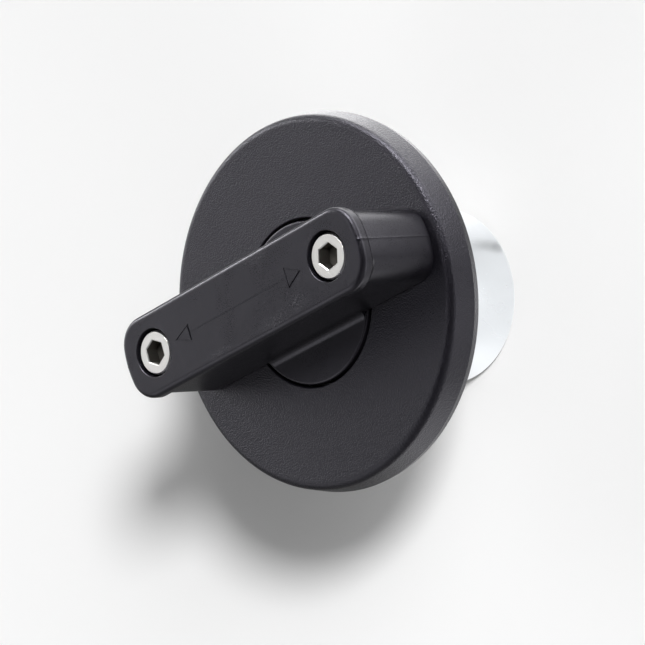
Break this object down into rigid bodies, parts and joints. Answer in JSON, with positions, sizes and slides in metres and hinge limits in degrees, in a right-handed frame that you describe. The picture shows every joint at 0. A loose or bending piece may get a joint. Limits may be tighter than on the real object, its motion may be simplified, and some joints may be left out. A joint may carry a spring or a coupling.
{
  "type": "fuel filler cap",
  "caption": "Vented bayonet filler cap: a black cover disc with a screwed blade handle and a plated steel sleeve that holds a sprung pressure and vacuum valve.",
  "frame": {"origin": "centre of the standing face, the closed end of the sleeve", "axes": "+Z along the cap's axis, out of the tank towards the handle; +X along the handle"},
  "size_m": [0.0856, 0.0856, 0.0716],
  "materials": {
    "cover_plastic": "fine leather grain",
    "handle_plastic": "satin, as moulded",
    "zinc_steel": "bright zinc plating",
    "screw_steel": "bright stainless",
    "spring_steel": "drawn wire",
    "nitrile_rubber": "matt",
    "valve_plastic": "natural acetal",
    "valve_brass": "turned",
    "foam": "open cell foam"
  },
  "bodies": {
    "cap": {"sleeve": "zinc_steel", "cover": "cover_plastic", "handle": "handle_plastic", "neck_gasket": "nitrile_rubber", "bayonet_stud_back": "zinc_steel", "bayonet_stud_front": "zinc_steel", "filter_tray": "zinc_steel", "dust_filter": "foam", "valve_housing": "valve_plastic", "valve_gasket": "nitrile_rubber", "valve_nut": "valve_plastic", "spring_cap": "valve_plastic", "pressure_spring": "spring_steel", "handle_screw_left": "screw_steel", "spring_washer_left": "screw_steel", "handle_bush_left": "zinc_steel", "clinch_nut_left": "zinc_steel", "handle_screw_right": "screw_steel", "spring_washer_right": "screw_steel", "handle_bush_right": "zinc_steel", "clinch_nut_right": "zinc_steel"},
    "pressure_valve": {"pressure_plate": "valve_brass", "pressure_seal": "nitrile_rubber", "vacuum_spring": "spring_steel"},
    "vacuum_valve": {"vacuum_poppet": "valve_brass", "vacuum_seal": "nitrile_rubber", "poppet_clip": "spring_steel"}
  },
  "joints": [
    {"name": "pressure_valve_lift", "type": "slide", "parent": "cap", "child": "pressure_valve", "axis": [0, 0, 1], "range_m": [0, 0.002], "stiffness_N_per_m": 800, "springref_m": -0.002, "deforming": ["pressure_spring"]},
    {"name": "vacuum_valve_drop", "type": "slide", "parent": "pressure_valve", "child": "vacuum_valve", "axis": [0, 0, -1], "range_m": [0, 0.0015], "stiffness_N_per_m": 150, "springref_m": -0.002, "deforming": ["vacuum_spring"]}
  ]
}
